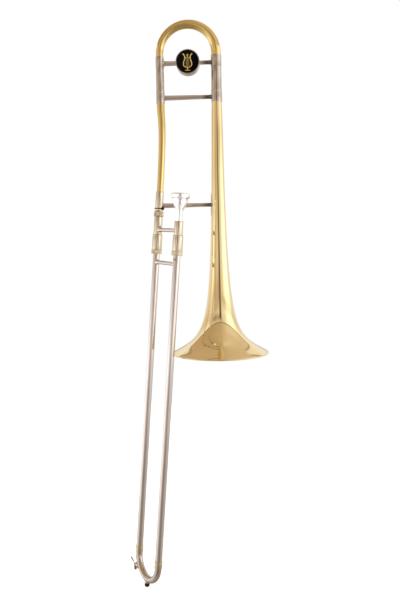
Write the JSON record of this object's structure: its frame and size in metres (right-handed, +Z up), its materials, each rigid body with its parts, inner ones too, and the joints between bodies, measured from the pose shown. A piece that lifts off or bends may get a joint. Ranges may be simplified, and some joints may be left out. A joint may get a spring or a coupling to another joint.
{
  "type": "tenor trombone",
  "caption": "Straight tenor trombone with a telescoping hand slide, a flared brass bell, a tuning slide with a round balance weight, and a silver mouthpiece.",
  "frame": {"origin": "centre of the bell lock nut, on the axis of the lower slide tube, where the left hand holds the instrument", "axes": "+Z up along the slide tubes, away from the slide bow; +X in the plane of the bell section, from the slide towards the bell; +Y towards the side that the upper slide tube leans away from"},
  "size_m": [0.2783, 0.2062, 1.2051],
  "materials": {
    "lacquered_brass": "clear-lacquered, mirror polished",
    "yellow_brass_fittings": "turned and knurled",
    "nickel_silver": "polished and lacquered",
    "chromed_tube": "hard chrome, honed",
    "silver_plate": "silver plated, polished",
    "black_enamel": "gloss",
    "gold_inlay": "polished",
    "black_rubber": "matte",
    "cork": "natural cork",
    "spring_steel": "plain steel"
  },
  "bodies": {
    "inner_slide": {"inner_slide_tube_lower": "chromed_tube", "inner_slide_tube_upper": "chromed_tube", "cork_barrel_lower": "nickel_silver", "cork_barrel_upper": "nickel_silver", "slide_cork_lower": "cork", "slide_cork_upper": "cork", "slide_tenon": "nickel_silver", "slide_collar": "nickel_silver", "mouthpiece_receiver": "nickel_silver", "inner_slide_brace": "nickel_silver", "barrel_end_ring": "yellow_brass_fittings"},
    "bell_section": {"neck_receiver": "nickel_silver", "neck_ring": "black_rubber", "gooseneck": "lacquered_brass", "sleeve_ferrule_neck": "nickel_silver", "sleeve_ferrule_bell": "nickel_silver", "tuning_sleeve_neck": "nickel_silver", "tuning_sleeve_bell": "nickel_silver", "bell_section_brace": "nickel_silver", "bell": "lacquered_brass", "bell_rim_bead": "lacquered_brass", "bell_brace": "nickel_silver", "bell_brace_flange": "nickel_silver"},
    "tuning_slide": {"tuning_crook": "lacquered_brass", "crook_ferrule_neck": "nickel_silver", "crook_ferrule_bell": "nickel_silver", "tuning_leg_neck": "nickel_silver", "tuning_leg_bell": "nickel_silver", "tuning_slide_brace": "nickel_silver", "balance_weight": "nickel_silver", "balance_weight_face": "black_enamel", "balance_weight_emblem": "gold_inlay", "balance_weight_screw": "spring_steel"},
    "lock_nut": {"bell_lock_nut": "yellow_brass_fittings"},
    "lock_ring": {"slide_lock_ring": "yellow_brass_fittings"},
    "mouthpiece": {"mouthpiece": "silver_plate"},
    "outer_slide": {"outer_slide_tube_lower": "nickel_silver", "outer_slide_tube_upper": "nickel_silver", "bow_ferrule_lower": "yellow_brass_fittings", "bow_ferrule_upper": "yellow_brass_fittings", "slide_bow": "nickel_silver", "outer_slide_brace": "nickel_silver", "slide_lock_pin": "yellow_brass_fittings", "bumper_socket": "nickel_silver", "rubber_bumper": "black_rubber", "water_key_nipple": "nickel_silver", "water_key_saddle": "nickel_silver", "water_key_pivot_screw": "spring_steel", "water_key_spring": "spring_steel"},
    "water_key": {"water_key_lever": "nickel_silver", "water_key_cork": "cork"}
  },
  "joints": [
    {"name": "bell_turn", "type": "hinge", "parent": "inner_slide", "child": "bell_section", "pos_m": [0, 0, 0], "axis": [0, 0, 1], "range_deg": [-4, 60]},
    {"name": "tuning_slide_pull", "type": "slide", "parent": "bell_section", "child": "tuning_slide", "axis": [-0.0803, 0, 0.9968], "range_m": [0, 0.045]},
    {"name": "lock_nut_turn", "type": "hinge", "parent": "inner_slide", "child": "lock_nut", "pos_m": [0, 0, 0], "axis": [0, 0, 1], "range_deg": [0, 720]},
    {"name": "slide_lock_turn", "type": "hinge", "parent": "inner_slide", "child": "lock_ring", "pos_m": [0.04921, -0.06684, -0.081], "axis": [0, 0, -1], "range_deg": [0, 22]},
    {"name": "mouthpiece_pull", "type": "slide", "parent": "inner_slide", "child": "mouthpiece", "axis": [0, 0, 1], "range_m": [0, 0.04]},
    {"name": "hand_slide", "type": "slide", "parent": "inner_slide", "child": "outer_slide", "axis": [0, 0, -1], "range_m": [0, 0.6]},
    {"name": "water_key_press", "type": "hinge", "parent": "outer_slide", "child": "water_key", "pos_m": [-0.00698, -0.00525, -0.76987], "axis": [0.1325, 0.9042, -0.4059], "range_deg": [0, 14], "stiffness_Nm_per_rad": 0.03, "springref_deg": -34.38}
  ]
}
